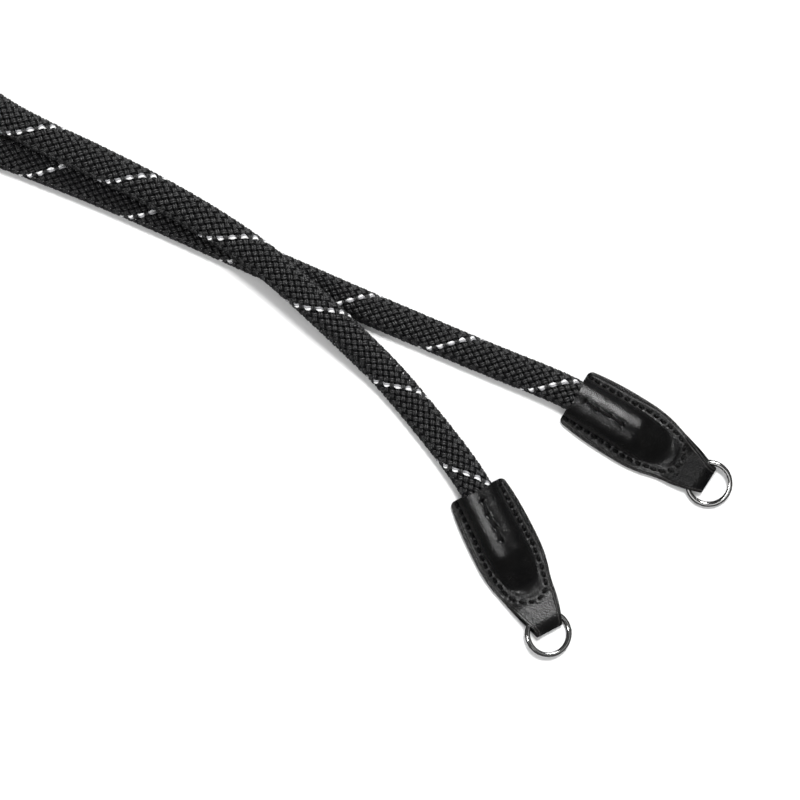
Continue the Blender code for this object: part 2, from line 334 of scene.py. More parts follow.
def spline_through(knots, values):
    """A natural cubic spline, as a function of the knots' variable, which may be an array."""
    knots = np.array(knots, float)
    values = np.array(values, float).reshape(len(knots), -1)
    last = len(knots) - 1
    gaps = np.diff(knots)
    matrix = np.eye(last + 1)
    right = np.zeros_like(values)
    for i in range(1, last):
        matrix[i, i - 1 : i + 2] = gaps[i - 1], 2 * (gaps[i - 1] + gaps[i]), gaps[i]
        right[i] = 6 * ((values[i + 1] - values[i]) / gaps[i] - (values[i] - values[i - 1]) / gaps[i - 1])
    bends = np.linalg.solve(matrix, right)

    def at(x):
        x = np.asarray(x, float)
        i = np.clip(np.searchsorted(knots, x) - 1, 0, last - 1)
        gap = gaps[i][..., None]
        a = (knots[i + 1] - x)[..., None] / gap
        b = (x - knots[i])[..., None] / gap
        bent = ((a**3 - a) * bends[i] + (b**3 - b) * bends[i + 1]) * gap**2 / 6
        return a * values[i] + b * values[i + 1] + bent

    return at


OUTLINE = spline_through(*zip(*END_OUTLINE))
NARROWING = spline_through(*zip(*BULGE_NARROWING))


def half_width(u):
    width = END_HALF_WIDTH * OUTLINE(np.asarray(u, float) / END_LENGTH)[..., 0]
    inset = np.maximum(MOUTH_CORNER - u, 0.0)
    return width - MOUTH_CORNER + np.sqrt(np.maximum(MOUTH_CORNER**2 - inset**2, 0.0))


def bulge_height(u):
    return 1.0 - smoothstep((np.asarray(u, float) - ROPE_INSERT) / SLEEVE_RUN_OUT)


def bulge_rise(u, v):
    """The bulge's height at u, v as a share of its height over the rope. Past the rope its sides fall sooner."""
    past = np.clip((u - ROPE_INSERT) / SLEEVE_RUN_OUT, 0.0, 1.0)
    return bulge_height(u + BULGE_ROUNDING * past * np.minimum(np.abs(v) / BULGE_RADIUS, 1.0) ** 2)


def bulge_width(u):
    return NARROWING(np.clip((np.asarray(u, float) - ROPE_INSERT) / SLEEVE_RUN_OUT, 0.0, 1.0))[..., 0]


def flat_faces(u):
    """Heights of the flat back and of the flat front."""
    u = np.asarray(u, float)
    share = np.clip((u - NECK_START) / (NECK_END - NECK_START), 0.0, 1.0)
    opened = np.where(share < NECK_CURVE, share**2 / (2 * NECK_CURVE), share - NECK_CURVE / 2)
    easing_out = 1 - NECK_CURVE - (1 - share) ** 2 / (2 * NECK_CURVE)
    opened = np.where(share > 1 - NECK_CURVE, easing_out, opened) / (1 - NECK_CURVE)
    top = FLANGE + POCKET_HEIGHT * opened
    half = np.sqrt(np.maximum((TIP_THICKNESS / 2) ** 2 - np.maximum(u - FOLD_CENTRE, 0.0) ** 2, 0.0))
    folded = u > FOLD_CENTRE
    return np.where(folded, TIP_THICKNESS / 2 - half, 0.0), np.where(folded, TIP_THICKNESS / 2 + half, top)


def lean(u):
    """The angle that a leather end is turned by at u, and how far that lifts its middle."""
    u = np.asarray(u, float)
    angle = math.radians(FOLD_LEAN_DEG) * smoothstep((u - POCKET_START + LEAN_LENGTH) / LEAN_LENGTH)
    share = (u - POCKET_START) / (END_LENGTH - POCKET_START)
    chord = (1 - share) * half_width(POCKET_START) + share * half_width(END_LENGTH)
    width = np.where(u <= POCKET_START, half_width(np.maximum(u, 0.0)), chord)
    return angle, width * np.sin(angle)


def stacked(*parts):
    """The parts as one array, with a last axis that tells them apart."""
    return np.stack(np.broadcast_arrays(*parts), axis=-1)


def leaned(u, v, w, side):
    """Points of a leather end, moved as its fold leans, as an array whose last axis is x, y, z."""
    angle, lift = lean(u)
    c, s = np.cos(angle), np.sin(angle) * side
    return stacked(u, v * c - w * s, v * s + w * c + lift)


def unleaned(points, side):
    """u, v, w of points of a leather end."""
    angle, lift = lean(points[:, 0])
    c, s = np.cos(angle), np.sin(angle) * side
    y, z = points[:, 1], points[:, 2] - lift
    return points[:, 0], y * c + z * s, -y * s + z * c


def surface_height(u, v):
    """Height of the leather's plain front at u, v."""
    front = flat_faces(u)[1]
    tall, wide = bulge_rise(u, v), bulge_width(u)
    across = np.abs(v) / np.maximum(wide, 0.2)
    drop = np.sqrt(np.maximum(BULGE_RADIUS**2 - across**2, 0.0))
    crown = (SLEEVE_AXIS - FLANGE + drop) * tall
    return front + np.where(across < BULGE_RADIUS, crown, 0.0)


def end_matrix(mouth_x, mouth_y, heading_deg):
    return Matrix.Translation((mouth_x, mouth_y, 0.0)) @ Matrix.Rotation(math.radians(heading_deg), 4, "Z")


def axes_matrix(x, y, z, origin):
    return Matrix.Translation(origin) @ Matrix((x, y, z)).transposed().to_4x4()


def placed(points, matrix):
    """points, an array with x, y, z last, moved by a 4x4 matrix."""
    m = np.array(matrix)
    return points @ m[:3, :3].T + m[:3, 3]


def grid_faces(rows, columns, closed=False, first=0):
    """Quads of a grid of vertices numbered row by row. closed joins each row's last vertex to its first."""
    r = np.arange(rows - 1)[:, None]
    c = np.arange(columns if closed else columns - 1)[None, :]
    d = (c + 1) % columns
    quads = stacked(r * columns + c, r * columns + d, (r + 1) * columns + d, (r + 1) * columns + c)
    return quads.reshape(-1, 4) + first


def linked(name, data):
    """A new object in the scene."""
    made = bpy.data.objects.new(name, data)
    scene.collection.objects.link(made)
    return made


def mesh_object(name, vertices, quads):
    mesh = bpy.data.meshes.new(name)
    vertices = np.ascontiguousarray(vertices, dtype=np.float32).reshape(-1, 3)
    quads = np.ascontiguousarray(quads, dtype=np.int32).reshape(-1, 4)
    mesh.vertices.add(len(vertices))
    mesh.vertices.foreach_set("co", vertices.ravel())
    mesh.loops.add(quads.size)
    mesh.loops.foreach_set("vertex_index", quads.ravel())
    mesh.polygons.add(len(quads))
    mesh.polygons.foreach_set("loop_start", np.arange(0, quads.size, 4, dtype=np.int32))
    mesh.polygons.foreach_set("use_smooth", np.full(len(quads), True))
    mesh.update(calc_edges=True)
    mesh.validate()
    return linked(name, mesh)


def close_ends(tube):
    """Fills the open ends of a tube and turns its faces outwards."""
    shape = bmesh.new()
    shape.from_mesh(tube.data)
    bmesh.ops.holes_fill(shape, edges=[e for e in shape.edges if e.is_boundary], sides=0)
    bmesh.ops.recalc_face_normals(shape, faces=shape.faces)
    shape.to_mesh(tube.data)
    shape.free()


def vectors_of(items, key):
    values = np.empty(len(items) * 3, dtype=np.float32)
    items.foreach_get(key, values)
    return values.reshape(-1, 3)


def set_uv(made, name, per_vertex):
    layer = made.data.uv_layers.new(name=name)
    index = np.empty(len(made.data.loops), dtype=np.int32)
    made.data.loops.foreach_get("vertex_index", index)
    layer.data.foreach_set("uv", np.ascontiguousarray(per_vertex[index], dtype=np.float32).ravel())


def set_mask(made, name, values):
    layer = made.data.attributes.new(name, "FLOAT", "POINT")
    layer.data.foreach_set("value", np.ascontiguousarray(values, dtype=np.float32))


# Materials


class Nodes:
    """A material's nodes, made with short calls."""

    def __init__(self, name):
        self.material = bpy.data.materials.new(name)
        self.material.use_nodes = True
        self.tree = self.material.node_tree
        self.shader = self.tree.nodes["Principled BSDF"]

    def make(self, kind, inputs=None, **settings):
        node = self.tree.nodes.new(kind)
        for key, value in settings.items():
            setattr(node, key, value)
        for key, value in (inputs or {}).items():
            self.put(node.inputs[key], value)
        return node

    def put(self, socket, value):
        if isinstance(value, bpy.types.NodeSocket):
            self.tree.links.new(value, socket)
        else:
            socket.default_value = value

    def set(self, **values):
        for key, value in values.items():
            self.put(self.shader.inputs[key.replace("_", " ")], value)

    def math(self, operation, a, b=0.0, c=0.0, clamp=False):
        node = self.make("ShaderNodeMath", operation=operation, use_clamp=clamp)
        self.put(node.inputs[0], a)
        self.put(node.inputs[1], b)
        self.put(node.inputs[2], c)
        return node.outputs[0]

    def coordinates(self):
        return self.make("ShaderNodeTexCoord").outputs["Object"]

    def noise(self, scale, detail=2.0, roughness=0.5):
        inputs = {"Vector": self.coordinates(), "Scale": scale, "Detail": detail, "Roughness": roughness}
        return self.make("ShaderNodeTexNoise", inputs).outputs["Fac"]

    def stripes(self, **inputs):
        """Slanting stripes."""
        inputs = {key.replace("_", " "): value for key, value in inputs.items()}
        settings = {"wave_type": "BANDS", "bands_direction": "DIAGONAL"}
        return self.make("ShaderNodeTexWave", inputs, **settings).outputs["Fac"]

    def ramp(self, value, low, high, first, second):
        inputs = {"Value": value, "From Min": low, "From Max": high, "To Min": first, "To Max": second}
        return self.make("ShaderNodeMapRange", inputs).outputs["Result"]

    def blend(self, share, first, second):
        node = self.make("ShaderNodeMix", data_type="RGBA")
        self.put(node.inputs[0], share)
        self.put(node.inputs[6], (*first, 1.0) if isinstance(first, tuple) else first)
        self.put(node.inputs[7], (*second, 1.0) if isinstance(second, tuple) else second)
        return node.outputs[2]

    def bump(self, height, distance, strength=1.0, onto=None):
        node = self.make("ShaderNodeBump", {"Height": height, "Distance": distance, "Strength": strength})
        if onto is not None:
            self.put(node.inputs["Normal"], onto)
        return node.outputs["Normal"]

    def mask(self, name):
        return self.make("ShaderNodeAttribute", attribute_name=name).outputs["Fac"]


def yarn_material(name, dark, light, roughness, sheen, twist_depth):
    """Filament yarn: fine plies that run slantwise along it, and a little change of shade from yarn to yarn."""
    n = Nodes(name)
    uv = n.make("ShaderNodeUVMap", uv_map="yarn").outputs["UV"]
    plies = n.stripes(Vector=uv, Scale=1.0, Distortion=1.2, Detail=2.0, Detail_Scale=3.0)
    shade = n.noise(700.0, 2.0)
    fibre = n.noise(9000.0, 2.0)
    mixed = n.math("MULTIPLY_ADD", shade, 0.7, n.math("MULTIPLY", fibre, 0.3))
    n.set(Base_Color=n.blend(n.ramp(mixed, 0.32, 0.68, 0.0, 1.0), dark, light))
    n.set(Roughness=roughness, Normal=n.bump(plies, twist_depth))
    n.set(Sheen_Weight=sheen, Sheen_Roughness=0.45, Sheen_Tint=(0.9, 0.93, 1.0, 1.0))
    n.set(Specular_IOR_Level=0.9)
    return n.material


def core_material():
    n = Nodes("rope_core_black")
    # Darker and duller than the yarns: painted shade where the core shows in the gaps between them.
    n.set(Base_Color=n.blend(n.noise(2500.0), (0.001, 0.001, 0.001), (0.002, 0.002, 0.002)))
    n.set(Roughness=0.95, Specular_IOR_Level=0.1)
    return n.material


def leather_material():
    """Smooth black leather: fine pores and pebbling, a soft waxed shine, painted edges, painted shade in the stitch
    holes, and painted highlights along the row of stitches and, together with wear, along the edges and creased
    lines.
    """
    n = Nodes("leather_black")
    edge, row, strip, pit = (n.mask(name) for name in ("edge", "row", "strip", "pit"))
    cells = {"Vector": n.coordinates(), "Scale": 2200.0, "Randomness": 1.0}
    grain = n.make("ShaderNodeTexVoronoi", cells, feature="SMOOTH_F1")
    n.put(grain.inputs["Smoothness"], 0.6)
    fine = n.noise(6500.0, 3.0, 0.6)
    broad = n.noise(260.0, 3.0, 0.55)

    rough = n.ramp(broad, 0.3, 0.7, 0.23, 0.27)
    rough = n.math("MULTIPLY_ADD", fine, 0.10, n.math("SUBTRACT", rough, 0.05))
    rough = n.math("MULTIPLY_ADD", edge, 0.12, rough)
    rough = n.math("MULTIPLY_ADD", row, 0.22, rough, clamp=True)

    colour = n.blend(n.ramp(broad, 0.3, 0.7, 0.0, 1.0), (0.0030, 0.0030, 0.0032), (0.0052, 0.0051, 0.0050))
    # Painted highlight: a lighter grey in patches along the edge's row of stitches, for the light that the leather
    # raised between the holes catches.
    row_highlight = n.math("MULTIPLY", row, n.ramp(n.noise(1600.0, 2.0), 0.40, 0.62, 0.0, 1.0))
    colour = n.blend(row_highlight, colour, (0.050, 0.050, 0.050))
    # Painted shade: the leather is near black in the stitch holes.
    colour = n.blend(pit, colour, (0.001, 0.001, 0.001))
    # Wear with a painted highlight: lighter along the edges' top corners and the creased lines.
    wear_and_highlight = n.math("MULTIPLY", n.mask("wear_and_highlight"), n.ramp(n.noise(1500.0), 0.35, 0.65, 0.3, 1.0), clamp=True)
    n.set(Base_Color=n.blend(wear_and_highlight, colour, (0.050, 0.048, 0.047)), Roughness=rough)

    hatch = n.stripes(Vector=n.coordinates(), Scale=720.0, Distortion=0.6)
    pebble = n.math("MULTIPLY_ADD", fine, 0.35, grain.outputs["Distance"])
    pebble = n.math("MULTIPLY_ADD", hatch, strip, pebble)
    pebble = n.math("MULTIPLY_ADD", n.math("MULTIPLY", n.noise(1300.0, 1.0), 4.0), row, pebble)
    n.set(Normal=n.bump(broad, 0.00012, 0.5, onto=n.bump(pebble, 0.00010, 0.8)))

    dull = n.math("MULTIPLY", n.mask("dull"), n.ramp(n.noise(1300.0, 2.0), 0.3, 0.7, 1.1, 0.9))
    dull = n.math("MAXIMUM", pit, dull)
    n.set(Specular_IOR_Level=n.ramp(dull, 0.0, 1.0, 0.5, 0.05))
    return n.material


def thread_material():
    n = Nodes("thread_black")
    fibre = n.noise(7000.0, 2.0)
    n.set(Base_Color=n.blend(fibre, (0.001, 0.001, 0.001), (0.003, 0.003, 0.003)))
    n.set(Roughness=0.50, Normal=n.bump(fibre, 0.00003), Specular_IOR_Level=0.22)
    return n.material


def ring_material():
    """Polished dark nickel with fine turning marks and a few rubs."""
    n = Nodes("dark_nickel")
    rub = n.noise(420.0, 4.0, 0.65)
    scratch = n.noise(5200.0, 2.0, 0.5)
    n.set(Base_Color=n.blend(n.ramp(rub, 0.35, 0.7, 0.0, 1.0), (0.56, 0.56, 0.56), (0.68, 0.68, 0.67)))
    n.set(Metallic=1.0, Roughness=n.math("MULTIPLY_ADD", scratch, 0.02, n.ramp(rub, 0.3, 0.7, 0.10, 0.13)))
    return n.material


def floor_material():
    """White table, which shines by itself far out, so that low views meet the backdrop without a line."""
    n = Nodes("floor_white")
    n.set(Base_Color=n.blend(n.noise(4.0), (0.86, 0.86, 0.86), (0.88, 0.88, 0.88)))
    n.set(Roughness=0.9, Specular_IOR_Level=0.1)
    near = n.make("ShaderNodeTexGradient", {"Vector": n.coordinates()}, gradient_type="SPHERICAL").outputs["Fac"]
    n.set(Emission_Color=WHITE, Emission_Strength=n.ramp(near, 0.15, 0.45, 1.0, 0.0))
    n.material.cycles.emission_sampling = "NONE"
    return n.material


def backdrop_material():
    n = Nodes("backdrop_white")
    n.set(Base_Color=(0.0, 0.0, 0.0, 1.0), Roughness=1.0, Specular_IOR_Level=0.0)
    n.set(Emission_Color=WHITE, Emission_Strength=1.0)
    n.material.cycles.emission_sampling = "NONE"
    return n.material


# Camera, light and floor


def in_picture(azimuth_deg):
    """The direction on the table that points azimuth_deg anticlockwise from the picture's right."""
    turn = math.radians(VIEW_TURN_DEG + azimuth_deg)
    return Vector((math.cos(turn), math.sin(turn), 0.0))


def add_camera():
    data = bpy.data.cameras.new("camera")
    camera = linked("camera", data)
    data.sensor_width = SENSOR_WIDTH
    data.lens = data.sensor_width * VIEW_DISTANCE * PIXELS_PER_METRE / PICTURE_PIXELS
    data.clip_start = 0.05
    data.clip_end = 20.0
    above = VIEW_TARGET + Vector((0, 0, VIEW_DISTANCE))
    camera.matrix_world = axes_matrix(in_picture(0.0), in_picture(90.0), (0, 0, 1), above)
    scene.camera = camera


def add_lamp(name, aim, way, width, height, power, shines, fills):
    """A rectangular lamp that faces aim from the direction way. shines: it lights the glossy, fills: the matt."""
    data = bpy.data.lights.new(name, "AREA")
    data.shape = "RECTANGLE"
    data.size, data.size_y = width, height
    data.energy = power
    lamp = linked(name, data)
    lamp.visible_glossy = shines
    lamp.visible_diffuse = fills
    lamp.location = aim + way * LAMP_DISTANCE
    lamp.rotation_euler = way.to_track_quat("Z", "Y").to_euler()


def add_glint(letter, centre, axis):
    """A small lamp that a flat face at centre, square to axis, mirrors into the camera."""
    seen = (scene.camera.matrix_world.translation - centre).normalized()
    way = (2 * axis.dot(seen) * axis - seen).normalized()
    add_lamp("ring_glint_" + letter, centre, way, GLINT_SIZE, GLINT_SIZE, GLINT_POWER[letter], True, False)


def add_walls():
    """Surroundings whose brightness changes with height."""
    world = bpy.data.worlds.new("studio")
    world.use_nodes = True
    tree = world.node_tree
    direction = tree.nodes.new("ShaderNodeTexCoord").outputs["Generated"]
    split = tree.nodes.new("ShaderNodeSeparateXYZ")
    tree.links.new(direction, split.inputs[0])
    walls = tree.nodes.new("ShaderNodeValToRGB")
    stops = walls.color_ramp.elements
    for height, _ in WALLS[1:-1]:
        stops.new(height)
    for stop, (height, strength) in zip(stops, WALLS):
        stop.position, stop.color = height, (strength, strength, strength, 1)
    tree.links.new(split.outputs["Z"], walls.inputs["Fac"])
    tree.links.new(walls.outputs["Color"], tree.nodes["Background"].inputs["Color"])
    scene.world = world


def add_floor():
    half = BACKDROP_RADIUS
    corners = [(x, y, FLOOR_HEIGHT) for x, y in ((-half, -half), (half, -half), (half, half), (-half, half))]
    floor = mesh_object("floor", corners, [(0, 1, 2, 3)])
    floor.data.materials.append(floor_material())
    floor.visible_glossy = False


def add_backdrop():
    shape = bmesh.new()
    bmesh.ops.create_icosphere(shape, subdivisions=3, radius=BACKDROP_RADIUS)
    mesh = bpy.data.meshes.new("backdrop")
    shape.to_mesh(mesh)
    shape.free()
    backdrop = linked("backdrop", mesh)
    mesh.materials.append(backdrop_material())
    backdrop.visible_glossy = backdrop.visible_diffuse = backdrop.visible_shadow = False


def add_surroundings():
    middle = Vector((VIEW_TARGET.x, VIEW_TARGET.y, 0.0))
    for name, azimuth_deg, tilt_deg, *lamp in LAMPS:
        tilt = math.radians(tilt_deg)
        way = in_picture(azimuth_deg) * math.sin(tilt) + Vector((0, 0, math.cos(tilt)))
        add_lamp(name, middle, way, *lamp)
    add_walls()
    add_floor()
    add_backdrop()
    scene.view_settings.view_transform = "Standard"
    scene.view_settings.look = "None"


# Rope


def rope_line():
    """Points every fifth of a millimetre along the rope's centre line, and the distance along the rope of each."""
    sleeves = []
    for _, mouth_x, mouth_y, heading_deg, _ in ENDS:
        matrix = end_matrix(mouth_x, mouth_y, heading_deg)
        sleeves.append([tuple(matrix @ Vector((ROPE_INSERT * s, 0.0, SLEEVE_AXIS))) for s in (0.0, 0.5, 1.0)])
    first, last = sleeves
    route = np.array(first[::-1] + ROPE_ROUTE + last)
    knots = np.concatenate([[0.0], np.cumsum(np.linalg.norm(np.diff(route, axis=0), axis=1))])
    fine = spline_through(knots, route)(np.linspace(0.0, knots[-1], 5000))
    run = np.concatenate([[0.0], np.cumsum(np.linalg.norm(np.diff(fine, axis=0), axis=1))])
    return fine, run


LINE, RUN = rope_line()
ROPE_LENGTH = RUN[-1]
COVER_START = ROPE_INSERT - COVER_INSIDE
COVER_END = ROPE_LENGTH - ROPE_INSERT + COVER_INSIDE
AHEAD = np.gradient(LINE, RUN, axis=0)
AHEAD /= np.linalg.norm(AHEAD, axis=1)[:, None]
LEFT = np.cross([0.0, 0.0, 1.0], AHEAD)
LEFT /= np.linalg.norm(LEFT, axis=1)[:, None]
UP = np.cross(AHEAD, LEFT)


def along_rope(values, s):
    return np.stack([np.interp(s, RUN, values[:, k]) for k in range(3)], axis=-1)


def on_rope(s, phi, radius):
    """Points at distance s along the rope, phi from its top towards the left, radius from its centre line."""
    out = along_rope(UP, s) * np.cos(phi)[..., None] + along_rope(LEFT, s) * np.sin(phi)[..., None]
    return along_rope(LINE, s) + out * radius[..., None]


def turns_at(s):
    """Turns of the braid at s, going on evenly past the table's ends."""
    places, turns = np.array(BRAID_TURNS).T
    value = np.interp(s, places, turns)
    value = np.where(s < places[0], turns[0] + (s - places[0]) / PITCH_BEFORE, value)
    return np.where(s > places[-1], turns[-1] + (s - places[-1]) / PITCH_AFTER, value)


def add_core():
    s = np.linspace(0.0, ROPE_LENGTH, CORE_STATIONS)
    phi = np.arange(CORE_SIDES) * 2 * math.pi / CORE_SIDES
    grid_s, grid_phi = np.meshgrid(s, phi, indexing="ij")
    points = on_rope(grid_s, grid_phi, np.full(grid_s.shape, CORE_RADIUS))
    core = mesh_object("rope_core", points, grid_faces(CORE_STATIONS, CORE_SIDES, closed=True))
    close_ends(core)
    core.data.materials.append(core_material())
    return core


def braid_floats(hand):
    """The middle of every float of one hand, as s and phi, with its carrier and the pitch there.

    A float is a stretch of yarns that lies on the outside.
    """
    fine = np.linspace(COVER_START, COVER_END, 40000)
    turns = turns_at(fine)
    rows = np.arange(math.ceil(turns[0] * ROWS_PER_TURN), math.floor(turns[-1] * ROWS_PER_TURN) + 1)
    rows = rows[rows % 2 == (0 if hand > 0 else 1)]
    s = np.interp(rows / ROWS_PER_TURN, turns, fine)
    pitch = np.interp(s, fine, 1.0 / np.gradient(turns, fine))
    carrier = np.arange(CARRIERS)
    phi = 2 * math.pi * carrier[None, :] / CARRIERS + hand * math.pi * rows[:, None] / CARRIERS

    def spread(values):
        return np.broadcast_to(values, phi.shape).ravel()

    return spread(s[:, None]), phi.ravel(), spread(carrier[None, :]), spread(pitch[:, None])


def yarn_vertices(s, phi, pitch, hand, which):
    """One yarn of every float given. which is +1 or -1, the side of the carrier that the yarn lies on."""
    count = len(s)

    def uneven(spread):
        return rng.normal(0, spread, count)

    slope = np.arctan2(2 * math.pi * ROPE_DIAMETER / 2, pitch) + np.radians(uneven(SLOPE_SPREAD_DEG))
    cell = pitch / ROWS_PER_TURN / np.cos(slope)
    q = YARN_STATIONS[None, :, None]
    ring = YARN_PROFILE[None, None, :]
    wide = YARN_HALF_WIDTH * (1 + uneven(WIDTH_SPREAD))[:, None, None] * (1 - YARN_TAPER * q**2)
    lift = uneven(LIFT_SPREAD)[:, None, None]
    shift = uneven(SHIFT_SPREAD)[:, None, None]
    along = q * cell[:, None, None] + 0 * ring
    across = which * YARN_APART * (1 - YARN_CLOSING * q**2) + shift + wide * np.cos(ring)
    out = YARN_MIDDLE + YARN_WAVE * np.cos(math.pi * q) + lift + YARN_HALF_THICKNESS * np.sin(ring)
    c, k = np.cos(slope)[:, None, None], np.sin(slope)[:, None, None]
    place = s[:, None, None] + along * c + across * k
    turn = phi[:, None, None] + hand * (along * k - across * c) / (ROPE_DIAMETER / 2)
    points = on_rope(place, turn, out)
    starts = rng.uniform(0, YARN_TEXTURE_STARTS, count)[:, None, None]
    uv = stacked(along * YARN_TEXTURE_SCALE + starts, across * YARN_TEXTURE_SCALE)
    return points, uv


def add_yarns(name, parts, finish):
    """One object from several (points, uv) blocks of yarns."""
    points = np.concatenate([p.reshape(-1, 3) for p, _ in parts])
    uv = np.concatenate([u.reshape(-1, 2) for _, u in parts])
    each = len(YARN_STATIONS) * len(YARN_PROFILE)
    one = grid_faces(len(YARN_STATIONS), len(YARN_PROFILE))[:, ::-1]
    quads = one[None, :, :] + np.arange(0, len(points), each)[:, None, None]
    made = mesh_object(name, points, quads)
    set_uv(made, "yarn", uv)
    made.data.materials.append(finish)
    return made


def add_braid():
    black = yarn_material("yarn_black", (0.0016, 0.0016, 0.0018), (0.0045, 0.0045, 0.0048), 0.45, 0.03, 0.000012)
    white = yarn_material("yarn_white", (0.74, 0.74, 0.74), (0.90, 0.90, 0.90), 0.55, 0.2, 0.000012)
    grey = yarn_material("yarn_grey", (0.22, 0.22, 0.23), (0.34, 0.34, 0.35), 0.55, 0.2, 0.000012)
    cuts = np.linspace(COVER_START - 0.001, COVER_END + 0.001, COVER_PIECES + 1)
    blocks = [[] for _ in range(COVER_PIECES)]
    flecks = {}
    for hand in (1, -1):
        s, phi, carrier, pitch = braid_floats(hand)
        marked = (carrier == 0) & (hand > 0)
        for which in (1, -1):
            points, uv = yarn_vertices(s, phi, pitch, hand, which)
            if hand > 0:
                flecks[which] = [(points[marked], uv[marked])]
            for k in range(COVER_PIECES):
                here = ~marked & (s >= cuts[k]) & (s < cuts[k + 1])
                blocks[k].append((points[here], uv[here]))
    made = [add_yarns("rope_braid_%d" % (k + 1), block, black) for k, block in enumerate(blocks)]
    for which, name, finish in ((1, "fleck_white", white), (-1, "fleck_grey", grey)):
        made.append(add_yarns(name, flecks[which], finish))
    return made


# Leather


def row_distance(u, v, holes):
    """Distance of points u, v from the line through holes."""
    best = np.full(np.shape(u), 1.0)
    for (u0, v0), (u1, v1) in zip(holes, holes[1:]):
        du, dv = u1 - u0, v1 - v0
        t = np.clip(((u - u0) * du + (v - v0) * dv) / (du * du + dv * dv), 0.0, 1.0)
        best = np.minimum(best, np.hypot(u - u0 - t * du, v - v0 - t * dv))
    return best


def hole_distance(u, v, holes):
    best = np.full(np.shape(u), 1.0)
    for u0, v0 in holes:
        best = np.minimum(best, np.hypot(u - u0, v - v0))
    return best


def dip(distance, reach):
    """1 at distance 0, falling off in a bell curve."""
    return np.exp(-((distance / reach) ** 2))


def mark(size, distance):
    strength, reach = size
    return strength * dip(distance, reach)


def edge_stitches():
    """Both ends of each stitch in the row round the edge, each a little different."""
    uneven = np.random.default_rng(3).normal(0.0, 1.0, (len(EDGE_HOLES), 4))
    pairs = []
    for i, (u, v) in enumerate(EDGE_HOLES):
        u0, v0 = EDGE_HOLES[max(i - 1, 0)]
        u1, v1 = EDGE_HOLES[min(i + 1, len(EDGE_HOLES) - 1)]
        run = math.hypot(u1 - u0, v1 - v0)
        half = STITCH_LENGTH / 2 * (1 + STITCH_LENGTH_SPREAD * uneven[i, 0])
        slant = STITCH_SLANT_SPREAD * uneven[i, 1]
        du = ((u1 - u0) - slant * (v1 - v0)) / run * half
        dv = ((v1 - v0) + slant * (u1 - u0)) / run * half
        u, v = u + STITCH_PLACE_SPREAD * uneven[i, 2], v + STITCH_PLACE_SPREAD * uneven[i, 3]
        pairs.append(((u - du, v - dv), (u + du, v + dv)))
    return pairs


def edge_pits(u, v):
    """1 in the middle of each stitch in the row round the edge, less away from it."""
    most = np.zeros(np.shape(u))
    for start, end in edge_stitches():
        most = np.maximum(most, dip(row_distance(u, v, [start, end]), STITCH_PIT_REACH))
    return most


def crease_insets(u):
    """How far in from the edge the creased line runs on the +v side and on the -v side."""
    return np.interp(u, *zip(*CREASE_INSETS)), np.full(np.shape(u), PLAIN_CREASE_INSET)


def front_relief(u, v):
    """What the sewing, creasing and pressing add to the front's height, in metres."""
    inset = half_width(u) - np.abs(v)
    row = row_distance(u, v, EDGE_HOLES)
    relief = mark(ROW_SWELL, row) + mark(ROW_RIM, row - ROW_RIM_AWAY)
    relief -= STITCH_PIT_DEPTH * edge_pits(u, v)
    relief -= mark(CENTRE_GROOVE, row_distance(u, v, CENTRE_HOLES))
    relief -= mark(CENTRE_PIT, hole_distance(u, v, CENTRE_HOLES))
    for here, crease_inset in zip((v > 0, v < 0), crease_insets(u)):
        crease = inset - crease_inset
        relief += here * (mark(CREASE_LIP, crease - CREASE_LIP_AWAY) - mark(CREASE_GROOVE, crease))
    wave = np.sin(u * 900 + 1.3 * np.sin(v * 700)) * np.sin(v * 800 + 0.7 * np.sin(u * 600 + 1.0))
    return relief + HIDE_UNEVENNESS * wave


def leather_sections(u):
    """v and w of the fine outline at each u, from the back's +v corner round to the back's -v corner and back."""
    edge = half_width(u)[:, None]
    back, front = (x[:, None] for x in flat_faces(u))
    wide = bulge_width(u)[:, None]
    thick = front - back
    corner = np.minimum(FRONT_CORNER, thick / 3)
    low = np.minimum(BACK_CORNER, thick / 4)
    t = np.radians([[-80.0, -45.0, -10.0]])
    points = [(edge - low + low * np.cos(t), back + low + low * np.sin(t))]
    rise = np.linspace(0.06, 0.94, 15)[None, :]
    points.append((edge + 0 * rise, back + low + (thick - low - corner) * rise))
    t = np.radians(np.linspace(0, 90, 7))[None, :]
    points.append((edge - corner + corner * np.cos(t), front - corner + corner * np.sin(t)))
    foot = BULGE_RADIUS + BULGE_FILLET
    share = np.linspace(0.0, 1.0, 26)[None, 1:-1]
    points.append((edge - corner + (foot * wide - edge + corner) * share, front + 0 * share))
    t = np.radians([[270.0, 240.0, 210.0, 185.0]])
    across = (foot + BULGE_FILLET * np.cos(t)) * wide
    fillet = (BULGE_FILLET + BULGE_FILLET * np.sin(t)) * bulge_rise(u[:, None], across)
    points.append((across, front + fillet))
    t = np.radians(np.linspace(0, 90, 32))[None, :]
    across = BULGE_RADIUS * np.cos(t) * wide
    crown = (SLEEVE_AXIS - FLANGE + BULGE_RADIUS * np.sin(t)) * bulge_rise(u[:, None], across)
    points.append((across, front + crown))
    v, w = (np.concatenate(half, axis=1) for half in zip(*(np.broadcast_arrays(a, b) for a, b in points)))
    share = np.linspace(-1.0, 1.0, 26)[None, 1:-1]
    v = np.concatenate([v, -v[:, -2::-1], (edge - low) * share], axis=1)
    w = np.concatenate([w, w[:, -2::-1], back + 0 * share], axis=1)
    return v, w


def leather_shell(name, side):
    """The outside of one leather end, finely divided."""
    corner = MOUTH_CORNER * CORNER_STEPS
    body = np.linspace(MOUTH_CORNER, FOLD_CENTRE, BODY_SECTIONS)
    fold = FOLD_CENTRE + TIP_THICKNESS / 2 * np.sin(np.radians(FOLD_STEPS_DEG))
    u = np.concatenate([corner, body, fold])
    v, w = leather_sections(u)
    points = leaned(np.broadcast_to(u[:, None], v.shape), v, w, side)
    shell = mesh_object(name, points, grid_faces(*v.shape, closed=True))
    close_ends(shell)
    return shell


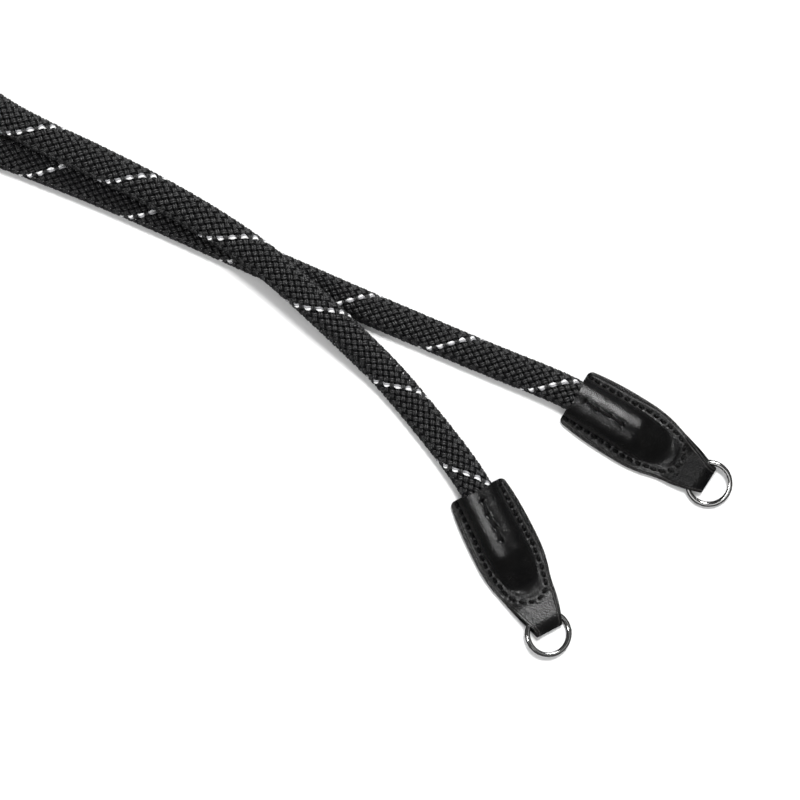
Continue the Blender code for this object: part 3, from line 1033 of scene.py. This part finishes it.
def shell_places(shell, side):
    """u, v, w of a shell's vertices, and for each the edge's inset and the height of the flat front."""
    u, v, w = unleaned(vectors_of(shell.data.vertices, "co").astype(float), side)
    inside = np.clip(u, 0.0, END_LENGTH)
    return u, v, w, half_width(inside) - np.abs(v), flat_faces(inside)[1]


def press(shell, side):
    """Presses the sewing and creasing into the front of a shell, and the joint of its two layers into its sides."""
    normals = vectors_of(shell.data.vertex_normals, "vector")
    u, v, w, inset, front = shell_places(shell, side)
    facing = smoothstep((normals[:, 2] - 0.15) / 0.5) * (w > front - 0.0001)
    amount = front_relief(u, v) * facing * smoothstep((FOLD_CENTRE + 0.001 - u) / 0.004)
    outer = (inset < 0.0003) & (u < POCKET_START + 0.001)
    v = v - np.sign(v) * mark(EDGE_JOINT, w - LEATHER) * outer * (np.abs(normals[:, 1]) > 0.5)
    points = leaned(u, v, w + amount, side)
    shell.data.vertices.foreach_set("co", np.ascontiguousarray(points, dtype=np.float32).ravel())
    shell.data.update()


def solid_from_sections(name, sections, place):
    """A closed solid through sections, a list of (u, [(v, w), ...]), whose points place puts in the scene."""
    shape = bmesh.new()
    rings = [[shape.verts.new(place(u, v, w)) for v, w in points] for u, points in sections]
    for here, there in zip(rings, rings[1:]):
        for i in range(len(here)):
            j = (i + 1) % len(here)
            shape.faces.new((here[i], here[j], there[j], there[i]))
    shape.faces.new(rings[0])
    shape.faces.new(rings[-1])
    bmesh.ops.recalc_face_normals(shape, faces=shape.faces)
    mesh = bpy.data.meshes.new(name)
    shape.to_mesh(mesh)
    shape.free()
    return linked(name, mesh)


def cavity_section(u):
    """Outline of the rope's space at u."""
    tall, wide = float(bulge_height(u)), float(bulge_width(u))
    inner = BULGE_RADIUS - SLEEVE_WALL
    crown_height = FLANGE + (SLEEVE_AXIS + BULGE_RADIUS - FLANGE) * tall - SLEEVE_WALL - LEATHER
    straight = crown_height - inner * crown_height / (SLEEVE_AXIS + inner - LEATHER)
    right = [(inner * wide, LEATHER)]
    for k in range(13):
        t = math.radians(90 * k / 12)
        right.append((inner * wide * math.cos(t), LEATHER + straight + (crown_height - straight) * math.sin(t)))
    return right + [(-v, w) for v, w in reversed(right[:-1])]


def hollow(shell, name, side):
    """Cuts the rope's space and the ring's pocket out of shell."""

    def place(u, v, w):
        return leaned(float(u), float(v), float(w), side)

    past_rope = [ROPE_INSERT + SLEEVE_RUN_OUT * s for s in (0.0, 0.15, 0.3, 0.45, 0.6)]
    stations = [-LEATHER] + [ROPE_INSERT * s for s in (0.02, 0.25, 0.5, 0.75)] + past_rope
    cavity = solid_from_sections(name + "_cavity", [(u, cavity_section(u)) for u in stations], place)
    radius = POCKET_HEIGHT / 2
    middle = LEATHER + radius
    arc = [math.radians(a) for a in range(-90, 91, 10)]
    side_view = [
        (POCKET_START, LEATHER),
        *((FOLD_CENTRE + radius * math.cos(t), middle + radius * math.sin(t)) for t in arc),
        (POCKET_FULL, LEATHER + POCKET_HEIGHT),
        (POCKET_START, LEATHER + SLEEVE_CLEARANCE),
    ]
    beyond = 1.5 * END_HALF_WIDTH
    both = [(v, side_view) for v in (-beyond, beyond)]
    pocket = solid_from_sections(name + "_pocket", both, lambda v, u, w: place(u, v, w))
    for cutter in (cavity, pocket):
        modifier = shell.modifiers.new(cutter.name, "BOOLEAN")
        modifier.operation = "DIFFERENCE"
        modifier.solver = "EXACT"
        modifier.object = cutter
    bpy.context.view_layer.update()
    result = bpy.data.meshes.new_from_object(shell.evaluated_get(bpy.context.evaluated_depsgraph_get()))
    shell.modifiers.clear()
    shell.data = result
    for cutter in (cavity, pocket):
        bpy.data.objects.remove(cutter)
    result.shade_smooth()
    result.set_sharp_from_angle(angle=math.radians(LEATHER_SHARP_DEG))


def set_masks(shell, letter, side):
    """Where the leather is painted, pierced, stretched, stamped, worn and lit, and dull, each from 0 to 1. The
    colour takes painted shade at the pierced holes, a painted highlight along the stretched row, and wear with a
    painted highlight at the edges and creases.
    """
    u, v, w, inset, front = shell_places(shell, side)
    plus, minus = crease_insets(np.clip(u, 0.0, END_LENGTH))
    shown = w > front - SHOWN_DEPTH
    set_mask(shell, "edge", smoothstep((PAINTED_EDGE - inset) / PAINTED_EDGE) * (w < front - 0.0002))
    # The stitch holes, where the colour is darkened as painted shade and the shine is dulled.
    pits = np.maximum(edge_pits(u, v) ** 2, dip(hole_distance(u, v, CENTRE_HOLES), PIT_REACH))
    set_mask(shell, "pit", pits * (w > front - 0.0012))
    # The edge's row of stitches: a rougher grain, and a painted highlight in the colour.
    set_mask(shell, "row", dip(row_distance(u, v, EDGE_HOLES), ROW_REACH) * shown)
    strip = smoothstep(-(inset - plus) / STRIP_BLUR) * (w > front - 0.0004)
    set_mask(shell, "strip", strip * (v > 0) * (u < POCKET_START))
    creased = np.where(v > 0, inset - plus, inset - minus)
    # Lighter at the edges' top corners and just inside the creased lines: wear with a painted highlight.
    corner = np.hypot(inset, np.minimum(front - w, 0.0006))
    wear_and_highlight = mark(EDGE_WEAR_AND_HIGHLIGHT, corner - EDGE_WEAR_AND_HIGHLIGHT_AWAY) + mark(CREASE_WEAR_AND_HIGHLIGHT, creased - CREASE_WEAR_AND_HIGHLIGHT_AWAY)
    set_mask(shell, "wear_and_highlight", np.minimum(wear_and_highlight, 1.0) * shown)
    fading = BULGE_DULLNESS * smoothstep((u - 0.011) / 0.011) * (1 - smoothstep((u - 0.022) / 0.004))
    neck = NECK_DULLNESS[letter] * smoothstep((u - 0.0335) / 0.0015)
    set_mask(shell, "dull", np.maximum(fading * (np.abs(v) < BULGE_RADIUS), neck) * shown)


def add_leather(letter, matrix, side, finish):
    name = "leather_end_" + letter
    shell = leather_shell(name + "_shell", side)
    hollow(shell, name, side)
    press(shell, side)
    set_masks(shell, letter, side)
    shell.data.transform(matrix)
    shell.data.materials.clear()
    shell.data.materials.append(finish)
    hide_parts(name)
    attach(shell, "strap")


# Thread


def stitch_line(start, end, rise, sink, slant):
    """u, v and height over the leather along one stitch: up out of one hole, over, and down into the next."""
    t = np.linspace(0.0, 1.0, 13)
    du, dv = end[0] - start[0], end[1] - start[1]
    run = math.hypot(du, dv)
    along = 0.06 + 0.88 * t
    off = slant * (0.5 - t)
    u = start[0] + du * along - dv / run * off
    v = start[1] + dv * along + du / run * off
    height = -sink + (rise + sink) * np.sin(math.pi * t) ** 0.55
    return u, v, height


def thread_tubes(centres, radius):
    """Points of twisted plies round a line of centres, a tube of rings of points for each ply."""
    ahead = np.gradient(centres, axis=0)
    ahead /= np.linalg.norm(ahead, axis=1)[:, None]
    left = np.cross([0.0, 0.0, 1.0], ahead)
    left /= np.maximum(np.linalg.norm(left, axis=1), 1e-6)[:, None]
    up = np.cross(ahead, left)
    run = np.concatenate([[0.0], np.cumsum(np.linalg.norm(np.diff(centres, axis=0), axis=1))])
    around = np.arange(THREAD_SIDES) * 2 * math.pi / THREAD_SIDES
    ring = np.cos(around)[None, :, None] * up[:, None, :] + np.sin(around)[None, :, None] * left[:, None, :]
    tubes = []
    for ply in range(THREAD_PLIES):
        turn = 2 * math.pi * (ply / THREAD_PLIES + run / THREAD_TWIST)
        middle = centres + radius * 0.50 * (np.cos(turn)[:, None] * up * 0.8 + np.sin(turn)[:, None] * left)
        tubes.append(middle[:, None, :] + ring * radius * 0.60)
    return tubes


def add_thread(letter, matrix, side, finish):
    tubes = []
    for pairs, radius, shape in (
        (edge_stitches(), THREAD_RADIUS, EDGE_STITCH),
        (zip(CENTRE_HOLES, CENTRE_HOLES[1:]), CENTRE_THREAD * THREAD_RADIUS, CENTRE_STITCH),
    ):
        for start, end in pairs:
            u, v, height = stitch_line(start, end, *shape)
            centres = leaned(u, v, surface_height(u, v) + height, side)
            tubes += thread_tubes(placed(centres, matrix), radius)
    points = np.array(tubes)
    rows = points.shape[1]
    each = rows * THREAD_SIDES
    quads = [grid_faces(rows, THREAD_SIDES, closed=True, first=k * each) for k in range(len(tubes))]
    made = mesh_object("stitches_" + letter, points, np.concatenate(quads))
    made.data.materials.append(finish)
    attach(made, "strap")


# Split rings


def ring_matrix(side):
    """Place of a ring in its pocket, within the leather end."""
    middle = LEATHER + POCKET_HEIGHT / 2
    step = RING_WIRE_WIDTH
    inside = (FOLD_CENTRE + POCKET_FULL) / 2

    def at(u, v):
        return Vector(leaned(float(u), float(v), middle, side))

    along = at(inside + step, 0.0) - at(inside - step, 0.0)
    across = at(inside, step) - at(inside, -step)
    axis = along.cross(across).normalized()
    along.normalize()
    across = axis.cross(along)
    centre = at(inside, 0.0) + (RING_CENTRE - inside) * along + RING_SIDE_SHIFT * across
    return axes_matrix(along, across, axis, centre)


def wire_profile():
    """Outline of the wire with well rounded edges: distance outwards and height from its middle."""
    half_r, half_z = RING_WIRE_WIDTH / 2 - RING_BEVEL, RING_WIRE_HEIGHT / 2 - RING_BEVEL
    profile = []
    for corner_r, corner_z, first in ((1, 1, 0), (-1, 1, 90), (-1, -1, 180), (1, -1, 270)):
        for k in range(5):
            t = math.radians(first + 22.5 * k)
            r, z = corner_r * half_r + RING_BEVEL * math.cos(t), corner_z * half_z + RING_BEVEL * math.sin(t)
            profile.append((r, z))
    return np.array(profile)


def add_ring(letter, matrix, finish):
    """Two turns of flat wire. Turn one climbs to turn two over the step, and both ends stop beside it."""
    name = "split_ring_" + letter
    profile = wire_profile()
    angle = np.linspace(0.0, 720.0 - RING_STEP_DEG, RING_STATIONS)
    climbed = smoothstep((angle - 360.0 + RING_STEP_DEG) / RING_STEP_DEG)
    lift = (RING_WIRE_HEIGHT + RING_TURN_GAP) * (climbed - 0.5)
    t = np.radians(180.0 + RING_STEP_DEG / 2 + angle)[:, None]
    radius = RING_OUTER_RADIUS - RING_WIRE_WIDTH / 2 + profile[None, :, 0]
    points = stacked(radius * np.cos(t), radius * np.sin(t), profile[None, :, 1] + lift[:, None])
    quads = grid_faces(RING_STATIONS, len(profile), closed=True)[:, ::-1]
    ring = mesh_object(name + "_wire", placed(points, matrix), quads)
    close_ends(ring)
    ring.data.set_sharp_from_angle(angle=math.radians(RING_SHARP_DEG))
    ring.data.materials.append(finish)
    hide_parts(name)
    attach(ring, "ring_" + letter)


add_camera()
add_surroundings()
core = add_core()
braid = add_braid()
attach(core, "strap")
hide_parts("rope")
for piece in braid:
    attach(piece, "strap")
path = [tuple(p) for p in along_rope(LINE, np.linspace(0.0, ROPE_LENGTH, 300))]

leather = leather_material()
thread = thread_material()
nickel = ring_material()
for letter, mouth_x, mouth_y, heading_deg, side in ENDS:
    matrix = end_matrix(mouth_x, mouth_y, heading_deg)
    face = matrix @ ring_matrix(side)
    add_glint(letter, face.translation, face.col[2].to_3d())
    add_leather(letter, matrix, side, leather)
    add_thread(letter, matrix, side, thread)
    add_ring(letter, face, nickel)
